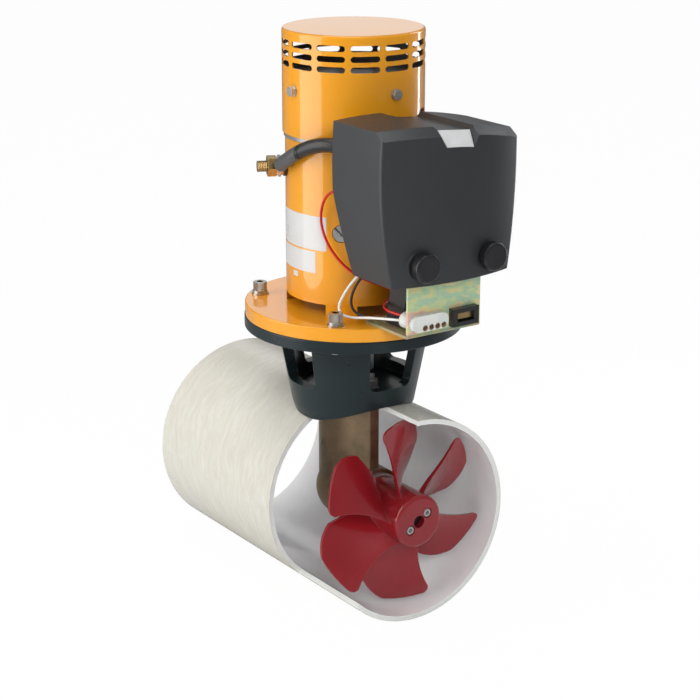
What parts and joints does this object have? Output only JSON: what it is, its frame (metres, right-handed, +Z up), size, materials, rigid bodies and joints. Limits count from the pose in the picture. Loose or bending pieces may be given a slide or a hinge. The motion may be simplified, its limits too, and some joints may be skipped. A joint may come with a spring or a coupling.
{
  "type": "bow thruster",
  "caption": "Electric bow thruster: a vertical motor on a flange drives a multi-blade propeller in a cut-away transverse tunnel, with a control unit beside it.",
  "frame": {"origin": "where the motor's vertical axis crosses the tunnel's axis", "axes": "+Z up along the motor's axis, Y along the tunnel's axis with the propeller end and the control cover towards -Y, +X to the right seen from the propeller end"},
  "size_m": [0.2022, 0.3614, 0.5361],
  "materials": {
    "fibreglass": "moulded laminate, glossy inside",
    "gasket_rubber": "matt",
    "black_casting": "satin",
    "yellow_paint": "gloss",
    "steel": "satin",
    "bronze": "cast, oiled",
    "brass": "satin",
    "copper": "bare",
    "iron": "dark",
    "aluminium": "cast",
    "red_plastic": "gloss",
    "black_plastic": "satin",
    "carbon": "matt",
    "white_plastic": "satin",
    "red_sheath": "satin",
    "black_rubber": "satin",
    "orange_rubber": "satin",
    "zinc_yellow": "iridescent passivation"
  },
  "bodies": {
    "frame": {"tunnel": "fibreglass", "saddle_gasket": "gasket_rubber", "flange_housing": "black_casting", "motor_flange": "yellow_paint", "flange_bolts": "steel", "motor_housing": "yellow_paint", "motor_screws": "steel", "lower_end_shield": "aluminium", "brush_frame": "aluminium", "pole_shoes": "iron", "field_coils": "copper", "pole_screws": "steel", "motor_bearings": "steel", "brush_holders": "brass", "brushes": "carbon", "brush_springs": "steel", "motor_cap": "yellow_paint", "cap_screws": "steel", "terminal_bush": "black_plastic", "terminal_stud": "brass", "terminal_nuts": "brass", "cable_lug": "copper", "motor_cable": "black_rubber", "leg_bearings": "steel", "shaft_seals": "black_rubber", "bearing_carrier": "aluminium", "gear_leg": "bronze", "leg_studs": "steel", "control_bracket": "zinc_yellow", "bracket_screws": "brass", "contactor_body": "black_plastic", "contactor_coils": "steel", "contactor_terminals": "brass", "control_socket": "white_plastic", "socket_pins": "brass", "fuse_holder": "black_plastic", "fuse": "brass", "red_wire": "red_sheath", "white_wire": "white_plastic", "black_wire": "black_rubber"},
    "motor_rotor": {"armature_core": "iron", "armature_windings": "copper", "motor_shaft": "steel", "coupling_upper": "iron", "coupling_spider": "orange_rubber", "coupling_lower": "iron", "drive_shaft": "steel", "bevel_pinion": "steel"},
    "propeller_rotor": {"crown_wheel": "steel", "propeller_shaft": "steel", "propeller_carrier": "bronze", "drive_pin": "steel", "propeller": "red_plastic", "propeller_screws": "steel"},
    "cover": {"control_cover": "black_plastic", "badge_plate": "aluminium"},
    "knob_left": {"knob_left": "black_plastic"},
    "knob_right": {"knob_right": "black_plastic"},
    "plunger_left": {"contactor_plunger_left": "steel"},
    "plunger_right": {"contactor_plunger_right": "steel"}
  },
  "joints": [
    {"name": "motor_spin", "type": "hinge", "parent": "frame", "child": "motor_rotor", "pos_m": [0, 0, 0], "axis": [0, 0, 1], "continuous": true},
    {"name": "propeller_spin", "type": "hinge", "parent": "frame", "child": "propeller_rotor", "pos_m": [0, 0, 0], "axis": [0, 1, 0], "continuous": true},
    {"name": "cover_slide", "type": "slide", "parent": "frame", "child": "cover", "axis": [0, -1, 0], "range_m": [0, 0.1]},
    {"name": "knob_left_turn", "type": "hinge", "parent": "cover", "child": "knob_left", "pos_m": [-0.0355, -0.16, 0.257], "axis": [0, -1, 0], "continuous": true},
    {"name": "knob_right_turn", "type": "hinge", "parent": "cover", "child": "knob_right", "pos_m": [0.0365, -0.16, 0.257], "axis": [0, -1, 0], "continuous": true},
    {"name": "plunger_left_pull", "type": "slide", "parent": "frame", "child": "plunger_left", "axis": [0, 0, 1], "range_m": [0, 0.003], "stiffness_N_per_m": 300, "springref_m": -0.004},
    {"name": "plunger_right_pull", "type": "slide", "parent": "frame", "child": "plunger_right", "axis": [0, 0, 1], "range_m": [0, 0.003], "stiffness_N_per_m": 300, "springref_m": -0.004}
  ],
  "couplings": [
    {"joint": "propeller_spin", "follows": "motor_spin", "ratio": -0.65}
  ]
}
